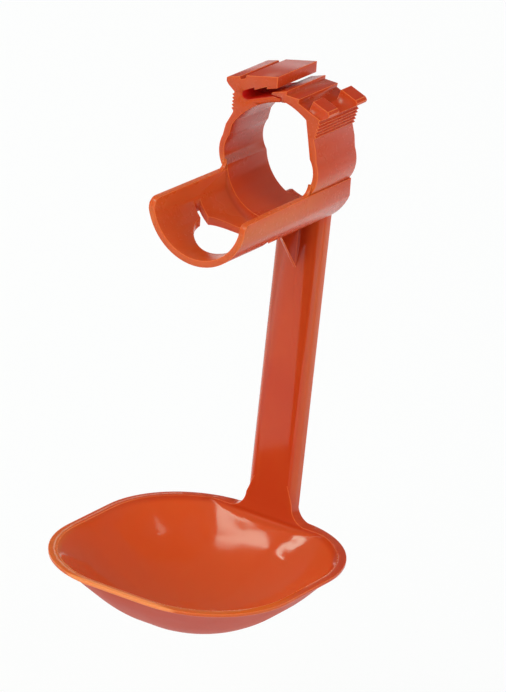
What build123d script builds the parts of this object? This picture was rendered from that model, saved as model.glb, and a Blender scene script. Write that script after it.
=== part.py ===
from build123d import *
from math import sqrt
import os

# Hanging drip cup for a poultry nipple line, moulded in one piece.
# Origin on the pipe's axis in the middle of the clip, +Y along the pipe to the arm, +Z up.
# Millimetres.

# Pipe seat and clip ring
pipe_diameter = 25.0
seat_clearance = 0.15
ring_depth = 18.0
band_wall = 1.6
lobe_bulge = 1.4
lobe_level = 2.2
side_level = 7.0
roof_level = 20.3

# Left jaw, with the slot that takes the tongue
plate_thickness = 3.1
plate_overhang = 1.2
plate_level = 23.5
plate_slope = 0.21
slot_slope = 0.30
slot_floor = 21.0
notch_pitch = 3.8
notch_depth = 0.6
groove_width = 2.2
groove_depth = 0.9
wing_reach = 2.6

# Right jaw, with the ratchet tongue
latch_gap = 0.4
tongue_tip = 0.65
tooth_pitch = 4.0
tooth_height = 1.05
crest_level = 23.5
lug_reach = 3.1
lug_height = 3.4
lug_length = 4.7
lug_inset = 0.5

# Finger grips on both jaws
grip_teeth = 5
grip_pitch = 0.96
grip_depth = 0.6

# Trough over the nipple
trough_length = 31.4
trough_wall = 1.8
trough_drop = 1.7
trough_radius = 15.5
trough_top = -2.4
trough_corner = 2.5
trough_spread = 0.6
corner_reach = 2.6
corner_rise = 3.0
hole_radius = 9.9
hole_from_ring = 14.6
key_width = 2.9
key_reach = 12.5
key_shift = 1.3

# Arm
arm_width = 14.8
arm_thickness = 3.8
arm_lean = 5.6
arm_below_seat = 0.3
arm_edge = 2.0
arm_web = 1.8
arm_flange = 1.8
arm_corner = 1.6
pocket_end = 5.0
flare_width = 4.4
flare_height = 5.0
gusset_thickness = 0.9
gusset_reach = 11.3
gusset_drop = 14.0

# Cup
cup_drop = 101.2
cup_side = 71.6
cup_corner = 26.7
cup_depth = 19.4
cup_wall = 1.8
back_corner = 21.0
lip_height = 0.9
lip_reach = 0.25
arm_behind_rim = 0.1

# Sizes that follow from the ones above
seat_radius = pipe_diameter / 2 + seat_clearance
side_x = seat_radius + 0.1
half_ring = ring_depth / 2
outer_side = seat_radius + trough_wall
cup_half = cup_side / 2
rim_back = half_ring + arm_thickness - 0.9 - arm_lean
cup_centre = rim_back + arm_behind_rim - cup_half

# Opening of the ring: pipe seat, two flex lobes, and a roof that steps up at the mouth
with BuildSketch(Plane.XZ) as opening:
    with BuildLine():
        seat = CenterArc((0, 0), seat_radius, 187, 166)
        right_lobe = ThreePointArc(seat @ 1, (seat_radius + lobe_bulge, lobe_level), (side_x, side_level))
        right_side = Spline(
            right_lobe @ 1,
            (side_x - 1.1, side_level + 5.8),
            (side_x - 2.0, roof_level - 3.0),
        )
        right_roof = ThreePointArc(right_side @ 1, (7.8, roof_level - 1.3), (4.2, roof_level))
        mouth_roof = Line(right_roof @ 1, (2.2, roof_level - 0.3))
        left_roof = ThreePointArc(mouth_roof @ 1, (-6.0, roof_level - 3.8), (0.7 - side_x, side_level + 3.3))
        left_side = Line(left_roof @ 1, (-side_x, side_level))
        left_lobe = ThreePointArc(left_side @ 1, (-seat_radius - lobe_bulge, lobe_level), seat @ 0)
    make_face()

# Outside of the seat and of the trough: a round base between two flat flanks
with BuildSketch(Plane.XZ) as base_outline:
    with Locations((0, -trough_drop)):
        Circle(trough_radius)
    with Locations((0, trough_top)):
        Rectangle(2 * outer_side, 2 * trough_radius, align=(Align.CENTER, Align.MAX), mode=Mode.INTERSECT)

# Left jaw: finger grip, wing strip, groove and the plate over the slot
grip_left = side_x - 0.65
grip_top = roof_level - 1.0
plate_left = side_x - 4.2
plate_top = plate_level + plate_thickness
with BuildSketch(Plane.XZ) as left_jaw:
    with BuildLine():
        Polyline(
            (1 - side_x, side_level - 1.0),
            (-side_x - 2.2, side_level - 1.0),
            (-side_x - 1.35, side_level + 2.8),
            (-grip_left, side_level + 6.6),
            (-grip_left, grip_top),
            (-grip_left - wing_reach + 0.7, grip_top + 1.4),
            (-grip_left - wing_reach, grip_top + 2.2),
            (-grip_left - wing_reach, grip_top + 3.3),
            (-grip_left - wing_reach + 0.7, plate_top - plate_slope * 16 - 0.3),
            (-plate_left - groove_width, plate_top - plate_slope * 12.5 - 0.2),
            (-plate_left - groove_width + 0.4, plate_top - plate_slope * 12.5 - groove_depth),
            (-plate_left - 0.4, plate_top - plate_slope * 10 - groove_depth),
            (-plate_left, plate_top - plate_slope * 9.6),
            (plate_overhang, plate_top),
            (plate_overhang, slot_floor),
            (2.4, slot_floor),
            (2.4, roof_level - 4),
            close=True,
        )
    make_face()
    with BuildLine():
        Polyline(
            (-8.4, slot_floor - 2.95),
            (-7.8, slot_floor - 2.95),
            (0, slot_floor),
            (plate_overhang + 1, slot_floor),
            (plate_overhang + 1, plate_level + slot_slope),
            (-8.9, plate_level - slot_slope * (plate_overhang + 8.9)),
            close=True,
        )
    make_face(mode=Mode.SUBTRACT)
    with Locations((-8.4, slot_floor - 1.7)):
        Circle(1.25, mode=Mode.SUBTRACT)
    for step in range(2):
        notch_x = -2.05 - step * notch_pitch
        notch_z = plate_level - slot_slope * (plate_overhang - notch_x)
        with BuildLine():
            Polyline(
                (notch_x, notch_z - 0.2),
                (notch_x, notch_z + notch_depth),
                (notch_x - 3.2, notch_z - 3.2 * slot_slope),
                close=True,
            )
        make_face(mode=Mode.SUBTRACT)
    for tooth in range(grip_teeth):
        with Locations((-grip_left, side_level + 7.6 + tooth * grip_pitch)):
            Polygon((0.3, -grip_pitch / 2), (0, -grip_pitch / 2), (-grip_depth, 0), (0, grip_pitch / 2),
                    (0.3, grip_pitch / 2), align=None)

# Right jaw: ratchet tongue, and the finger grip below the lugs
grip_right = side_x + 0.85
tongue_base = slot_floor + latch_gap
with BuildSketch(Plane.XZ) as right_jaw:
    with BuildLine():
        Polyline(
            (side_x - 1, side_level - 1.0),
            (side_x + 2.2, side_level - 1.0),
            (side_x + 1.75, side_level + 2.6),
            (grip_right, side_level + 5.6),
            (grip_right + 1.2, grip_top - 1.3),
            (grip_right + 1.7, grip_top - 1.1),
            (2 * tooth_pitch - 0.05, crest_level - 2 * tooth_height - 0.2),
            (2 * tooth_pitch + 0.2, crest_level - tooth_height - 0.15),
            (tooth_pitch + 0.15, crest_level - tooth_height),
            (tooth_pitch + 0.2, crest_level),
            (-0.3, tongue_base + tongue_tip),
            (-0.3, tongue_base),
            (2.4 + latch_gap, tongue_base),
            (2.4 + latch_gap, roof_level - 1),
            close=True,
        )
    make_face()
    for tooth in range(grip_teeth):
        level = side_level + 6.2 + tooth * grip_pitch
        with Locations((grip_right + 0.14 + tooth * 0.22, level)):
            Polygon((-0.4, -grip_pitch / 2), (0, -grip_pitch / 2), (grip_depth, 0), (0, grip_pitch / 2),
                    (-0.4, grip_pitch / 2), align=None)

# Clip ring
with BuildPart() as ring:
    with BuildSketch(Plane.XZ.offset(-half_ring)):
        offset(opening.sketch_local, amount=band_wall)
        with Locations((0, side_level + 3)):
            Rectangle(4 * seat_radius, 4 * seat_radius, align=(Align.CENTER, Align.MAX), mode=Mode.INTERSECT)
        add(base_outline.sketch_local)
        add(left_jaw.sketch_local)
        add(right_jaw.sketch_local)
        add(opening.sketch_local, mode=Mode.SUBTRACT)
    extrude(amount=ring_depth)
    # Two lugs on the right jaw, one at each end of the ring
    with BuildSketch(Plane.XZ.offset(half_ring - lug_inset), Plane.XZ.offset(lug_length - half_ring)):
        with BuildLine():
            Polyline(
                (side_x - 1.9, grip_top - 0.5),
                (side_x - 0.5, grip_top + lug_height),
                (side_x + lug_reach + 1.1, grip_top + 1.6),
                (side_x + lug_reach + 1.7, grip_top + 0.8),
                (side_x + lug_reach + 1.4, grip_top + 0.1),
                (grip_right + 1.6, grip_top - 1.2),
                close=True,
            )
        make_face()
    extrude(amount=-lug_length)

# Trough, open at the top and at its near end, where its walls stand a little wider
trough_end = -half_ring - trough_length
with BuildPart() as trough:
    with BuildSketch(Plane.XZ.offset(half_ring)):
        with Locations((0, -trough_drop)):
            Circle(trough_radius)
        with Locations((0, trough_top)):
            Rectangle(2 * trough_radius, 2 * trough_radius, align=(Align.CENTER, Align.MAX), mode=Mode.INTERSECT)
    extrude(amount=trough_length)
    with BuildSketch(Plane.XY):
        with BuildLine():
            Polyline(
                (outer_side, -half_ring),
                (outer_side + trough_spread, trough_end),
                (-outer_side - trough_spread, trough_end),
                (-outer_side, -half_ring),
                close=True,
            )
        make_face()
    extrude(amount=-2 * trough_radius, mode=Mode.INTERSECT)
    fillet(trough.edges().filter_by(Axis.X).group_by(Axis.Y)[0].group_by(Axis.Z)[-1], trough_corner)

with BuildPart() as trough_hollow:
    with BuildSketch(Plane.XZ.offset(half_ring)):
        with Locations((0, -trough_drop)):
            Circle(trough_radius - trough_wall)
            Rectangle(2 * trough_radius, 2 * trough_radius, align=(Align.CENTER, Align.MAX), mode=Mode.INTERSECT)
        Rectangle(2 * trough_radius, -2 * trough_top, mode=Mode.ADD)
    extrude(amount=trough_length)
    with BuildSketch(Plane.XY):
        with BuildLine():
            Polyline(
                (seat_radius, -half_ring),
                (seat_radius + trough_spread, trough_end),
                (-seat_radius - trough_spread, trough_end),
                (-seat_radius, -half_ring),
                close=True,
            )
        make_face()
    extrude(amount=-2 * trough_radius, mode=Mode.INTERSECT)

# Small concave webs between the ring's near face and the tops of the trough's walls
with BuildPart() as corner_webs:
    with BuildSketch(Plane.YZ):
        with BuildLine():
            web_curve = ThreePointArc(
                (-half_ring - corner_reach, trough_top),
                (-half_ring - 0.3 * corner_reach, trough_top + 0.3 * corner_rise),
                (-half_ring, trough_top + corner_rise),
            )
            Polyline(
                web_curve @ 1,
                (-half_ring, trough_top - 1),
                (-half_ring - corner_reach, trough_top - 1),
                web_curve @ 0,
            )
        make_face()
    extrude(amount=outer_side - 0.5, both=True)
    with BuildSketch(Plane.XZ.offset(-half_ring)):
        Rectangle(2 * seat_radius + 0.3, 2 * seat_radius)
    extrude(amount=2 * ring_depth, mode=Mode.SUBTRACT)

# Round hole over the nipple, with a key slot on each side
with BuildPart() as nipple_hole:
    with BuildSketch(Plane.XY.offset(-2 * trough_radius)):
        with Locations((0, -half_ring - hole_from_ring)):
            Circle(hole_radius)
        with Locations((0, -half_ring - hole_from_ring + key_shift)):
            Rectangle(2 * key_reach, key_width)
    extrude(amount=2 * trough_radius + trough_top - trough_drop)

# Arm: leans towards the pipe line, hollowed at the back, rounded at its front edges
lean_slope = arm_lean / (cup_drop - trough_radius)
arm_cut = seat_radius + arm_below_seat
arm_top = arm_below_seat - sqrt(arm_cut**2 - (arm_width / 2) ** 2)
arm_height = cup_drop + arm_top
rim_front = rim_back - arm_thickness
arm_plane = Plane(origin=(0, rim_front, -cup_drop), x_dir=(1, 0, 0), z_dir=(0, lean_slope, 1))
with BuildPart() as arm:
    with BuildSketch(arm_plane.offset(-lip_height)) as arm_section:
        Rectangle(arm_width, arm_thickness, align=(Align.CENTER, Align.MIN))
        fillet(arm_section.vertices().group_by(Axis.Y)[0], arm_edge)
    extrude(amount=cup_drop)
    with BuildSketch(Plane.XZ.offset(-3 * half_ring)) as arm_front:
        with Locations((0, arm_top)):
            Rectangle(arm_width, arm_height + lip_height / 2, align=(Align.CENTER, Align.MAX))
        Circle(arm_cut, mode=Mode.SUBTRACT)
        fillet(arm_front.vertices().group_by(Axis.Y)[-1], arm_corner)
    extrude(amount=6 * half_ring, mode=Mode.INTERSECT)
    # Pocket in the back, closed at both ends
    with BuildSketch(Plane.YZ):
        with BuildLine():
            pocket_low = rim_front + arm_web + lean_slope * pocket_end
            pocket_height = arm_height - 2 * pocket_end
            Polyline(
                (pocket_low, pocket_end - cup_drop),
                (pocket_low + 2 * arm_thickness, pocket_end - cup_drop),
                (pocket_low + 2 * arm_thickness, pocket_end + pocket_height - cup_drop),
                (pocket_low + lean_slope * pocket_height, pocket_end + pocket_height - cup_drop),
                close=True,
            )
        make_face()
    extrude(amount=arm_width / 2 - arm_flange, both=True, mode=Mode.SUBTRACT)

# Foot of the arm: flares out into the rim
foot_top = 2 * flare_height
with BuildPart() as arm_foot:
    with BuildSketch(arm_plane.offset(-lip_height)):
        Rectangle(arm_width + 2 * flare_width, arm_thickness - 0.3, align=(Align.CENTER, Align.MIN))
    extrude(amount=2 * foot_top)
    with BuildSketch(Plane.XZ.offset(-2 * half_ring)):
        with BuildLine():
            flare = TangentArc(
                (arm_width / 2, flare_height - cup_drop),
                (arm_width / 2 + flare_width, -cup_drop),
                tangent=(0, -1),
            )
            Polyline(
                flare @ 1,
                (arm_width / 2 + flare_width, -cup_drop - lip_height / 2),
                (0, -cup_drop - lip_height / 2),
                (0, foot_top - cup_drop),
                (arm_width / 2 - arm_edge, foot_top - cup_drop),
                flare @ 0,
            )
        make_face()
        mirror(about=Plane.YZ)
    extrude(amount=4 * half_ring, mode=Mode.INTERSECT)

with BuildPart() as gusset:
    with BuildSketch(Plane.YZ):
        with BuildLine():
            gusset_top = 2.6 - trough_drop - trough_radius
            arm_front_y = rim_front + lean_slope * (cup_drop + gusset_top)
            gusset_foot = arm_front_y + 0.3 - lean_slope * (gusset_drop + 2.6)
            Polyline(
                (arm_front_y + 1, gusset_top),
                (arm_front_y - gusset_reach, gusset_top),
                (arm_front_y - gusset_reach, gusset_top - 2.4),
                (gusset_foot, gusset_top - 2.6 - gusset_drop),
                (gusset_foot + arm_web / 2, gusset_top - 2.6 - gusset_drop),
                close=True,
            )
        make_face()
    extrude(amount=gusset_thickness / 2, both=True)

# Cup: a round dish that spreads into a rounded-square rim
dish_radius = (cup_half**2 + cup_depth**2) / (2 * cup_depth)
dish_rise = dish_radius - cup_depth
rim_roundness = cup_corner / cup_half
with BuildPart() as cup:
    with BuildSketch(Plane.XY.offset(-cup_drop)):
        with Locations((0, cup_centre)):
            RectangleRounded(cup_side, cup_side, cup_corner)
    extrude(amount=-lip_height)
    for share in (0.02, 0.3, 0.6, 0.85, 0.985):
        depth = share * cup_depth
        half = sqrt(dish_radius**2 - (dish_rise + depth) ** 2) - lip_reach * (1 - share)
        with BuildSketch(Plane.XY.offset(-cup_drop - depth)):
            with Locations((0, cup_centre)):
                RectangleRounded(2 * half, 2 * half, min(0.9, rim_roundness + share) * half)
    loft()

with BuildPart() as hollow_cup:
    inner_radius = dish_radius - cup_wall
    for share in (0, 0.3, 0.6, 0.85, 0.985):
        depth = share * (cup_depth - cup_wall)
        half = sqrt(inner_radius**2 - (dish_rise + depth) ** 2)
        with BuildSketch(Plane.XY.offset(-cup_drop - depth)):
            with Locations((0, cup_centre)):
                RectangleRounded(2 * half, 2 * half, min(0.9, rim_roundness + share) * half)
    loft()
    # The wall behind the hollow stands flush with the arm's front
    with BuildSketch(Plane.XY.offset(-cup_drop)) as back_wall:
        with Locations((0, rim_front)):
            Rectangle(cup_side, cup_side, align=(Align.CENTER, Align.MAX))
        fillet(back_wall.vertices().group_by(Axis.Y)[-1], back_corner)
    extrude(amount=-cup_depth, mode=Mode.INTERSECT)

with BuildPart() as drip_cup:
    add(trough)
    add(trough_hollow, mode=Mode.SUBTRACT)
    add(nipple_hole, mode=Mode.SUBTRACT)
    add(ring)
    add(corner_webs)
    add(arm)
    add(arm_foot)
    add(gusset)
    add(cup)
    add(hollow_cup, mode=Mode.SUBTRACT)

drip_cup.part.label = "drip_cup"
os.makedirs("parts", exist_ok=True)
export_step(drip_cup.part, "parts/drip_cup.step")
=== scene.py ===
import bpy
import bmesh
import math
from mathutils import Matrix, Vector


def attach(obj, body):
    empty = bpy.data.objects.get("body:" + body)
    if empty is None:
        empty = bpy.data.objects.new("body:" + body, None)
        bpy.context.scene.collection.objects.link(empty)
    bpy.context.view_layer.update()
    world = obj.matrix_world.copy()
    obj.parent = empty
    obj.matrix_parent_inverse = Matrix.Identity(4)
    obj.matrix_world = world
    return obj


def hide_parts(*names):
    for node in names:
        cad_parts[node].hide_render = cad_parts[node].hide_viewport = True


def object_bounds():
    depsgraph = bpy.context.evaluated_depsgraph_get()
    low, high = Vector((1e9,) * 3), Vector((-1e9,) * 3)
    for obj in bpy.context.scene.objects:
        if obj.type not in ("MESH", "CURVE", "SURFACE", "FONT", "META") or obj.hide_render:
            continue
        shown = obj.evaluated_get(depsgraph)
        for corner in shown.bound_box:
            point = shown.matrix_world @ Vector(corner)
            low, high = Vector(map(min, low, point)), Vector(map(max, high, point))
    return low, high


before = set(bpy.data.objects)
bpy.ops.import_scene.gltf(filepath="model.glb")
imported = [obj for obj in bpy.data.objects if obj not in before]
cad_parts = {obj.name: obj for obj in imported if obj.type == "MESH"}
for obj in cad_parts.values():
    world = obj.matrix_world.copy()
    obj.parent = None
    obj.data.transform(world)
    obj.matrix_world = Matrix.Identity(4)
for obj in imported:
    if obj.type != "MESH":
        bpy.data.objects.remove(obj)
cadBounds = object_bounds()
scene = bpy.context.scene
mm = 0.001


# A socket that takes part in plain expressions
class Wire:
    tree = None  # the node tree being filled

    def __init__(self, socket):
        self.socket = socket

    @classmethod
    def make(cls, kind, settings=None, sockets=None, out=0):
        node = cls.tree.nodes.new(kind)
        for name, value in (settings or {}).items():
            setattr(node, name, value)
        for name, value in (sockets or {}).items():
            cls.plug(node.inputs[name], value)
        return cls(node.outputs[out]) if len(node.outputs) else node

    @classmethod
    def plug(cls, target, value):
        if isinstance(value, Wire):
            cls.tree.links.new(value.socket, target)
        else:
            target.default_value = value

    # Another output of the same node
    def other(self, name):
        return Wire(self.socket.node.outputs[name])

    def maths(self, operation, *values):
        return Wire.make("ShaderNodeMath", {"operation": operation}, dict(enumerate(values)))

    def __add__(self, other):
        return self.maths("ADD", self, other)

    def __radd__(self, other):
        return self.maths("ADD", other, self)

    def __sub__(self, other):
        return self.maths("SUBTRACT", self, other)

    def __rsub__(self, other):
        return self.maths("SUBTRACT", other, self)

    def __mul__(self, other):
        return self.maths("MULTIPLY", self, other)

    def __rmul__(self, other):
        return self.maths("MULTIPLY", other, self)

    def size(self):
        return self.maths("ABSOLUTE", self)

    def atMost(self, other):
        return self.maths("MINIMUM", self, other)

    # 0 at start, 1 at end, smooth between
    def ramp(self, start, end):
        if start > end:
            return 1 - self.ramp(end, start)
        return Wire.make("ShaderNodeMapRange", {"interpolation_type": "SMOOTHSTEP"},
                         {"Value": self, "From Min": start, "From Max": end, "To Min": 0.0, "To Max": 1.0})


# Sockets 6 and 7 of the node are its two colours, and output 2 its mixed colour
def mixColours(factor, first, second):
    return Wire.make("ShaderNodeMix", {"data_type": "RGBA"}, {0: factor, 6: first, 7: second}, out=2)


# A screen colour, 0 to 255, as the linear colour that a shader takes
def linear(red, green, blue):
    def one(value):
        value = value / 255
        return value / 12.92 if value <= 0.04045 else ((value + 0.055) / 1.055) ** 2.4
    return (one(red), one(green), one(blue), 1.0)


def newMaterial(name):
    made = bpy.data.materials.new(name)
    made.use_nodes = True
    made.node_tree.nodes.clear()
    Wire.tree = made.node_tree
    return made


def finishMaterial(shader):
    Wire.make("ShaderNodeOutputMaterial", None, {"Surface": shader})


# Camera, as the photograph was taken
camera = {
    "place": (0.8205, -1.2501, 0.5515),
    "right": (0.81737, 0.57239, 0.06533),
    "up": (-0.26468, 0.27238, 0.92506),
    "lens": 317.6,  # mm
    "sensor": 36,  # mm
    "farthest": 30,
}


# A turn whose local axes point along right, up and back
def turnTo(right, up, back):
    return Matrix((right, up, back)).transposed().to_4x4()


def placeCamera():
    data = bpy.data.cameras.new("camera")
    data.lens = camera["lens"]
    data.sensor_width = camera["sensor"]
    data.clip_end = camera["farthest"]
    piece = bpy.data.objects.new("camera", data)
    right = Vector(camera["right"]).normalized()
    back = right.cross(Vector(camera["up"])).normalized()
    piece.matrix_world = Matrix.Translation(Vector(camera["place"])) @ turnTo(right, back.cross(right), back)
    scene.collection.objects.link(piece)
    scene.camera = piece


placeCamera()
print("camera placed")


# Moulded plastic of the cup: its colours, painted light and shade among them, the melt's pattern, and the
# places that differ
plastic = {
    "base": linear(193, 64, 27),
    "warm": linear(200, 76, 31),  # clouds and streaks
    "gold": linear(205, 100, 38),  # painted glow of light through thin walls, and painted sheen inside the trough and along the rim's front
    "deep": linear(190, 10, 2),  # painted shade inside the latch slot, and a darker tone where the clouds are low
    # painted light: a brighter, redder tone where faces look up inside the bowl and the trough
    "bowl": linear(208, 81, 36),
    "shade": linear(176, 36, 4),  # painted shade on the underside of the bowl, the top of the clip and the back of the rim
    "dusk": linear(150, 30, 8),  # tint in place of the shadow beside the gusset
    # painted highlight and glow on the rounds of the edges
    "edge": linear(222, 108, 52),
    "glint": linear(242, 142, 80),  # tint in place of the shine on the rim's front edge
    "cloud": {"Scale": 38.0, "Detail": 3.0, "Roughness": 0.5},
    "grain": {"Scale": 900.0, "Detail": 3.0, "Roughness": 0.6},
    "streak": {"Scale": 1.0, "Detail": 2.0, "Roughness": 0.5},
    "streakStretch": (1100.0, 260.0, 14.0),
    # A mask is 0 at the first number and 1 at the second, of a pattern or of how far a face looks up
    "bands": {
        "cloudHigh": ("cloud", 0.38, 0.68),
        "cloudLow": ("cloud", 0.42, 0.25),
        "smudge": ("cloud", 0.45, 0.75),
        "grainSmudge": ("grain", 0.5, 0.8),
        "lines": ("streak", 0.5, 0.72),
        "hollow": ("up", -0.2, 0.2),
        "bowl": ("up", -0.1, 0.3),
        "outside": ("up", 0.05, -0.3),
        "clipTop": ("up", 0.5, 0.9),
    },
    # The same for places on the cup, in mm
    "places": {
        "onArm": [("z", -16, -20), ("z", -100, -90)],
        "lines": [("side", 1.5, 5.5)],
        "armSide": [("side", 5.6, 7.3)],
        "trough": [("y", -9.2, -10), ("z", -22, -20)],
        "wall": [("side", 11.8, 14.2), ("z", -15, -3), ("z", 2.5, -0.5), ("y", 16, -30)],
        "lip": [("side", 12.0, 12.8), ("z", -1.6, -0.3)],
        "nearEnd": [("y", -39.2, -40.8), ("z", -22, -20)],
        "ringFace": [("y", -8.6, -8.95), ("y", -9.4, -9.05), ("z", -12, -6)],
        "slot": [
            ("y", -8.95, -8.6), ("z", 17.5, 18.0), ("z", 22.6, 21.8), ("x", -10.6, -10.0), ("x", 4.5, 3.0),
        ],
        "clip": [("z", -24, -12)],
        "clipTop": [("z", 15, 18)],
        "gusset": [("proud", 0.3, 1.2), ("z", -34, -32), ("z", -14, -16.5), ("y", -9, -7)],
        "armFront": [("depth", 0.7, 0.3), ("x", 6, 1.5), ("z", -33, -24)],
        "besideGusset": [("x", 0.1, 0.4), ("z", -13, -16)],
        "rim": [("z", -102.6, -101.6), ("z", -100.6, -101.1)],
        "rimFront": [("y", -30, -50)],
        "rimBack": [("y", -30, -5)],
        "rimEdge": [("y", -63.6, -64.4), ("side", 34, 26)],
        "bowl": [("z", -101.2, -102.4)],
        "outside": [("z", -101.8, -102.6)],
    },
    # Masks that lie within another
    "within": {
        "lines": "onArm", "armSide": "onArm", "lip": "trough", "hollow": "trough",
        "rimFront": "rim", "rimBack": "rim", "rimEdge": "rim",
    },
    # Front of the arm: its y at the level of the rim, and how far it goes back for each step up
    "armLevel": -101.2 * mm,
    "armPlace": 2.5 * mm,
    "armLean": 0.0650,
    # Share of a tint, of roughness or of height that each mask brings
    "warmShares": {"cloudHigh": 0.55, "lines": 0.4},
    "paintedGlowShares": {
        "hollow": 0.3, "wall": 0.85, "lip": 0.4, "nearEnd": 0.6, "ringFace": 0.25, "armSide": 0.38,
        "rim": 0.15, "rimFront": 0.6, "gusset": 0.1,
    },
    "slotShadeAndCloudShares": {"slot": 1.0, "cloudLow": 0.12},
    "upLightShares": {"bowl": 0.85, "hollow": 0.7},
    "shadeShares": {"outside": 0.45, "clipTop": 0.5, "rimBack": 0.4},
    "duskShares": {"corner": 0.8},
    "glintShares": {"rimEdge": 0.85},
    "roughShares": {
        "smudge": 0.07, "grainSmudge": 0.04, "outside": 0.4, "clip": 0.17, "slot": 0.4, "clipTop": -0.04,
    },
    "heightShares": {"grain": 0.06, "cloud": 0.08, "lines": 0.25},
    "goldLeast": 0.85,
    "goldClouds": 0.3,  # more gold where the clouds are bright
    "edgeLeast": 0.6,
    "edgeClouds": 0.275,
    "edgeFade": 0.6,  # less of the painted edge highlight at the back of the rim
    "roughness": 0.09,
    "edgeRoughness": 0.18,  # more on the rounds of the edges
    "gloss": 0.33,
    "ior": 1.5,
    "subsurface": 0.25,
    "depth": 2.0 * mm,
    "bumpStrength": 0.12,
    "bumpHeight": 0.12 * mm,
}


# The melt's pattern: slow clouds and fine grain all over, and streaks that run down the arm
def makePattern(place):
    stretched = Wire.make("ShaderNodeMapping", None, {"Vector": place, "Scale": plastic["streakStretch"]})
    return {
        "cloud": Wire.make("ShaderNodeTexNoise", None, {"Vector": place, **plastic["cloud"]}),
        "grain": Wire.make("ShaderNodeTexNoise", None, {"Vector": place, **plastic["grain"]}),
        "streak": Wire.make("ShaderNodeTexNoise", None, {"Vector": stretched, **plastic["streak"]}),
    }


# Masks of the pattern and of the places on the cup
def makeMasks():
    surface = Wire.make("ShaderNodeTexCoord")
    x = Wire.make("ShaderNodeSeparateXYZ", None, {0: surface.other("Object")})
    y, z = x.other("Y"), x.other("Z")
    up = Wire.make("ShaderNodeSeparateXYZ", None, {0: surface.other("Normal")}).other("Z")
    proud = (z - plastic["armLevel"]) * plastic["armLean"] + plastic["armPlace"] - y  # in front of the arm
    pattern = makePattern(surface.other("Object"))
    along = {"x": x, "y": y, "z": z, "side": x.size(), "up": up, "proud": proud, "depth": proud.size()}
    along.update(pattern)

    masks = {"cloud": pattern["cloud"], "grain": pattern["grain"]}
    for name, (measure, start, end) in plastic["bands"].items():
        masks[name] = along[measure].ramp(start, end)
    for name, limits in plastic["places"].items():
        for measure, start, end in limits:
            limit = along[measure].ramp(start * mm, end * mm)
            masks[name] = masks[name] * limit if name in masks else limit
    for name, whole in plastic["within"].items():
        masks[name] = masks[name] * masks[whole]
    # Painted shadow beside the gusset, on the front of the arm
    masks["corner"] = (masks["armFront"] + masks["gusset"]).atMost(1.0) * masks["besideGusset"]
    return masks


# Sum of the masks, each times its share
def addShares(masks, name):
    parts = [masks[mask] * share for mask, share in plastic[name].items()]
    return sum(parts[1:], parts[0])


def makePlastic(name, onEdge):
    made = newMaterial(name)
    masks = makeMasks()
    cloud = masks["cloud"]
    colour = mixColours(addShares(masks, "warmShares"), plastic["base"], plastic["warm"])
    # Painted glow and sheen: a lighter gold on thin walls, in the trough, on the rim's front and the arm's
    # sides
    glowAmount = plastic["goldLeast"] + cloud * plastic["goldClouds"]
    colour = mixColours(addShares(masks, "paintedGlowShares").atMost(1.0) * glowAmount, colour, plastic["gold"])
    # Painted shade in the latch slot, and a darker tone where the clouds are low
    colour = mixColours(addShares(masks, "slotShadeAndCloudShares").atMost(1.0), colour, plastic["deep"])
    # Painted light: brighter where faces look up inside the bowl and the trough
    colour = mixColours(addShares(masks, "upLightShares"), colour, plastic["bowl"])
    # Painted shade: darker underside of the bowl, top of the clip and back of the rim
    colour = mixColours(addShares(masks, "shadeShares").atMost(1.0), colour, plastic["shade"])
    # Painted shadow beside the gusset
    colour = mixColours(addShares(masks, "duskShares"), colour, plastic["dusk"])
    rough = plastic["roughness"] + addShares(masks, "roughShares")
    # On the rounds of the edges: a painted highlight, and more roughness
    if onEdge:
        edgeHighlightShare = plastic["edgeLeast"] + cloud * plastic["edgeClouds"]
        fade = 1 - masks["rimBack"] * plastic["edgeFade"]
        colour = mixColours(edgeHighlightShare * fade, colour, plastic["edge"])
        rough = rough + plastic["edgeRoughness"]
    # Painted highlight on the rim's front edge
    colour = mixColours(addShares(masks, "glintShares"), colour, plastic["glint"])
    bump = Wire.make("ShaderNodeBump", None, {
        "Strength": plastic["bumpStrength"], "Distance": plastic["bumpHeight"],
        "Height": addShares(masks, "heightShares"),
    })
    finishMaterial(Wire.make("ShaderNodeBsdfPrincipled", None, {
        "Base Color": colour, "Roughness": rough, "Normal": bump,
        "IOR": plastic["ior"], "Specular IOR Level": plastic["gloss"],
        "Subsurface Weight": plastic["subsurface"], "Subsurface Scale": plastic["depth"],
    }))
    return made


cupPlastic = makePlastic("cupPlastic", False)
edgeHighlightPlastic = makePlastic("cupEdgeHighlight", True)  # the rounds of the edges, with a painted highlight
print("plastic made")


# The moulded cup: a merged copy of the solid, its bowl relaxed and its edges rounded
moulding = {
    "mergeDistance": 0.002 * mm,
    "wall": 1.8 * mm,  # of the bowl, from its underside to its floor
    "rimLevel": -101.2 * mm,
    "rimKept": 0.3 * mm,  # below the rim, where the bowl isn't relaxed
    "crease": math.radians(24),
    "relax": 12,
    "relaxShare": 0.5,
    "armFoot": 8 * mm,  # above the rim, where flat faces are joined
    "flat": math.radians(0.3),
    "mostCorners": 12,
    "edge": 0.20 * mm,  # round of the rim
    "otherEdges": 0.75,  # share of it on every other edge
    "edgeAngle": math.radians(28),
    "rimEdges": (-102.25 * mm, -101.05 * mm),
    "slotHeight": (17.4 * mm, 22.0 * mm),  # the latch slot keeps its sharp edges
    "slotWidth": (-11 * mm, 4 * mm),
    "segments": 3,
}


def isWithin(value, limits):
    return limits[0] < value < limits[1]


# Faces reached from the one nearest to start without crossing a crease
def spreadFrom(shape, start):
    first = min(shape.faces, key=lambda face: (face.calc_center_median() - start).length)
    found = {first}
    waiting = [first]
    while waiting:
        for edge in waiting.pop().edges:
            if len(edge.link_faces) == 2 and edge.calc_face_angle() < moulding["crease"]:
                for face in edge.link_faces:
                    if face not in found:
                        found.add(face)
                        waiting.append(face)
    return found


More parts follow.
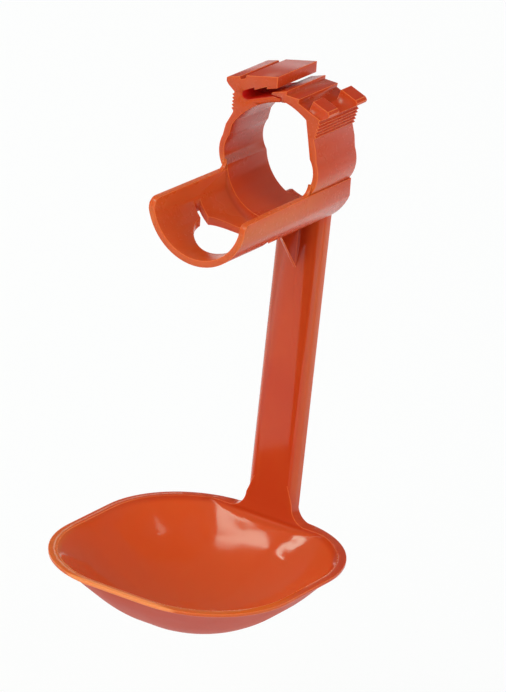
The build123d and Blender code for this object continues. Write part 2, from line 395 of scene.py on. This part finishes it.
# Smooths the underside of the bowl, then its inside
def relaxBowl(shape):
    lowest = min(shape.verts, key=lambda vert: vert.co.z)
    top = moulding["rimLevel"] - moulding["rimKept"]
    for lift in (0.0, moulding["wall"]):
        wall = spreadFrom(shape, lowest.co + Vector((0, 0, lift)))
        loose = [v for v in shape.verts if v.co.z < top and all(f in wall for f in v.link_faces)]
        print("bowl wall:", len(wall), "faces,", len(loose), "points relaxed")
        for step in range(moulding["relax"]):
            bmesh.ops.smooth_vert(shape, verts=loose, factor=moulding["relaxShare"],
                                  use_axis_x=True, use_axis_y=True, use_axis_z=True)


# Joins the triangles of each flat face above the bowl, so that the rounds have room
def joinFlats(shape):
    low = moulding["rimLevel"] + moulding["armFoot"]
    above = {f for f in shape.faces if f.calc_center_median().z > low}
    edges = [e for e in shape.edges if all(f in above for f in e.link_faces)]
    bmesh.ops.dissolve_limit(shape, angle_limit=moulding["flat"], verts=[], edges=edges)
    bmesh.ops.triangulate(shape, faces=[f for f in shape.faces if len(f.verts) > moulding["mostCorners"]])


# Says how much of the round each outer edge takes
def weighEdges(shape):
    weight = shape.edges.layers.float.new("bevel_weight_edge")
    for edge in shape.edges:
        if edge.is_convex and edge.calc_face_angle() > moulding["edgeAngle"]:
            height = (edge.verts[0].co.z + edge.verts[1].co.z) / 2
            across = edge.verts[0].co.x
            inSlot = isWithin(height, moulding["slotHeight"]) and isWithin(across, moulding["slotWidth"])
            if isWithin(height, moulding["rimEdges"]):
                edge[weight] = 1.0
            elif not inSlot:
                edge[weight] = moulding["otherEdges"]


def roundEdges(piece):
    rounding = piece.modifiers.new("edge", "BEVEL")
    rounding.width = moulding["edge"]
    rounding.segments = moulding["segments"]
    rounding.limit_method = "WEIGHT"
    rounding.use_clamp_overlap = False
    rounding.harden_normals = True
    # The rounds take the plastic with the painted edge highlight
    rounding.material = 1


def makeMoulding():
    shape = bmesh.new()
    shape.from_mesh(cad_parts["drip_cup"].data)
    bmesh.ops.remove_doubles(shape, verts=shape.verts, dist=moulding["mergeDistance"])
    relaxBowl(shape)
    joinFlats(shape)
    for face in shape.faces:
        face.smooth = True
    weighEdges(shape)
    mesh = bpy.data.meshes.new("cupMoulding")
    shape.to_mesh(mesh)
    shape.free()
    mesh.materials.append(cupPlastic)
    mesh.materials.append(edgeHighlightPlastic)
    piece = bpy.data.objects.new("cupMoulding", mesh)
    scene.collection.objects.link(piece)
    roundEdges(piece)
    return piece


cupMoulding = makeMoulding()
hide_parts("drip_cup")
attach(cupMoulding, "root")
print("moulding made")


# Paper cove, world and lamps
studio = {
    "drop": 50 * mm,  # paper below the cup
    "reach": 5.0,
    "turn": 0.6,  # radius of the cove's upturned rim
    "turnAngle": math.radians(80),
    "turnSteps": 8,
    "sides": 64,
    "paper": (0.84, 0.84, 0.84, 1.0),
    "white": 0.86,  # share of plain white that the camera sees
    "world": 0.18,
    "aim": (0, -0.03, -0.06),
    "lampDistance": 3.0,
    "shownColour": (0.72, 1.0, 0.84),
    "softColour": (1.0, 1.0, 1.0),
}
# name: direction from the cup, direction of the long side, length, breadth, watts, seen in reflections
lamps = {
    "window": ((-0.333, -0.340, 0.880), (-0.894, -0.137, -0.427), 1.50, 0.56, 24.0, True),
    "sideWindow": ((-0.753, -0.129, 0.645), (-0.465, 0.802, -0.375), 0.60, 0.12, 2.5, True),
    "skylight": ((0.42, 0.12, 0.90), (0.0, 0.27, -0.04), 0.50, 0.14, 0.7, True),
    "rimLight": ((-0.551, 0.758, 0.350), (0.203, -0.285, 0.937), 0.60, 0.12, 0.3, True),
    "softFront": ((-0.10, -0.85, 0.50), (1.0, 0.0, 0.0), 2.8, 2.8, 50.0, False),
    "softRight": ((0.90, -0.20, 0.35), (0.0, 1.0, 0.0), 2.8, 2.8, 46.0, False),
    "softLeft": ((-0.90, 0.10, 0.40), (0.0, 1.0, 0.0), 2.8, 2.8, 43.0, False),
    "softBack": ((0.10, 0.90, 0.45), (1.0, 0.0, 0.0), 2.8, 2.8, 38.0, False),
}


# A disc of paper under the cup, its rim turned up
def makeCove():
    low = cadBounds[0][2] - studio["drop"]
    shape = bmesh.new()
    bmesh.ops.create_circle(shape, cap_ends=True, segments=studio["sides"], radius=studio["reach"])
    bmesh.ops.translate(shape, verts=shape.verts, vec=(0, 0, low))
    edge = [e for e in shape.edges if e.is_boundary]
    for step in range(1, studio["turnSteps"] + 1):
        angle = step / studio["turnSteps"] * studio["turnAngle"]
        grown = bmesh.ops.extrude_edge_only(shape, edges=edge)["geom"]
        ring = [g for g in grown if isinstance(g, bmesh.types.BMVert)]
        edge = [g for g in grown if isinstance(g, bmesh.types.BMEdge)]
        radius = studio["reach"] + studio["turn"] * math.sin(angle)
        for vert in ring:
            flat = Vector((vert.co.x, vert.co.y, 0)).normalized() * radius
            vert.co = (flat.x, flat.y, low + studio["turn"] * (1 - math.cos(angle)))
    bmesh.ops.recalc_face_normals(shape, faces=shape.faces)
    for face in shape.faces:
        face.smooth = len(face.verts) == 4
    mesh = bpy.data.meshes.new("paperCove")
    shape.to_mesh(mesh)
    shape.free()
    mesh.materials.append(makePaper())
    cove = bpy.data.objects.new("paperCove", mesh)
    scene.collection.objects.link(cove)


# Diffuse paper, mostly plain white to the camera and in reflections
def makePaper():
    made = newMaterial("covePaper")
    cameraRay = Wire.make("ShaderNodeLightPath")
    seen = (cameraRay + cameraRay.other("Is Glossy Ray") + cameraRay.other("Is Transmission Ray")).atMost(1.0)
    paper = Wire.make("ShaderNodeBsdfDiffuse", None, {"Color": studio["paper"]})
    white = Wire.make("ShaderNodeEmission", None, {"Color": (1, 1, 1, 1), "Strength": 1.0})
    finishMaterial(Wire.make("ShaderNodeMixShader", None, {0: seen * studio["white"], 1: paper, 2: white}))
    return made


def makeWorld():
    world = bpy.data.worlds.new("studio")
    scene.world = world
    world.use_nodes = True
    world.node_tree.nodes.clear()
    Wire.tree = world.node_tree
    back = Wire.make("ShaderNodeBackground", None, {"Color": (1, 1, 1, 1), "Strength": studio["world"]})
    Wire.make("ShaderNodeOutputWorld", None, {"Surface": back})


def addLamp(name, towards, along, length, breadth, power, shown):
    lamp = bpy.data.lights.new(name, "AREA")
    lamp.shape = "RECTANGLE"
    lamp.size = length
    lamp.size_y = breadth
    lamp.energy = power
    lamp.color = studio["shownColour"] if shown else studio["softColour"]
    piece = bpy.data.objects.new(name, lamp)
    back = Vector(towards).normalized()
    over = back.cross(Vector(along)).normalized()
    spot = Vector(studio["aim"]) + back * studio["lampDistance"]
    piece.matrix_world = Matrix.Translation(spot) @ turnTo(over.cross(back), over, back)
    piece.visible_glossy = shown
    scene.collection.objects.link(piece)


makeCove()
makeWorld()
for name, values in lamps.items():
    addLamp(name, *values)
print("studio made")

scene.view_settings.view_transform = "Standard"
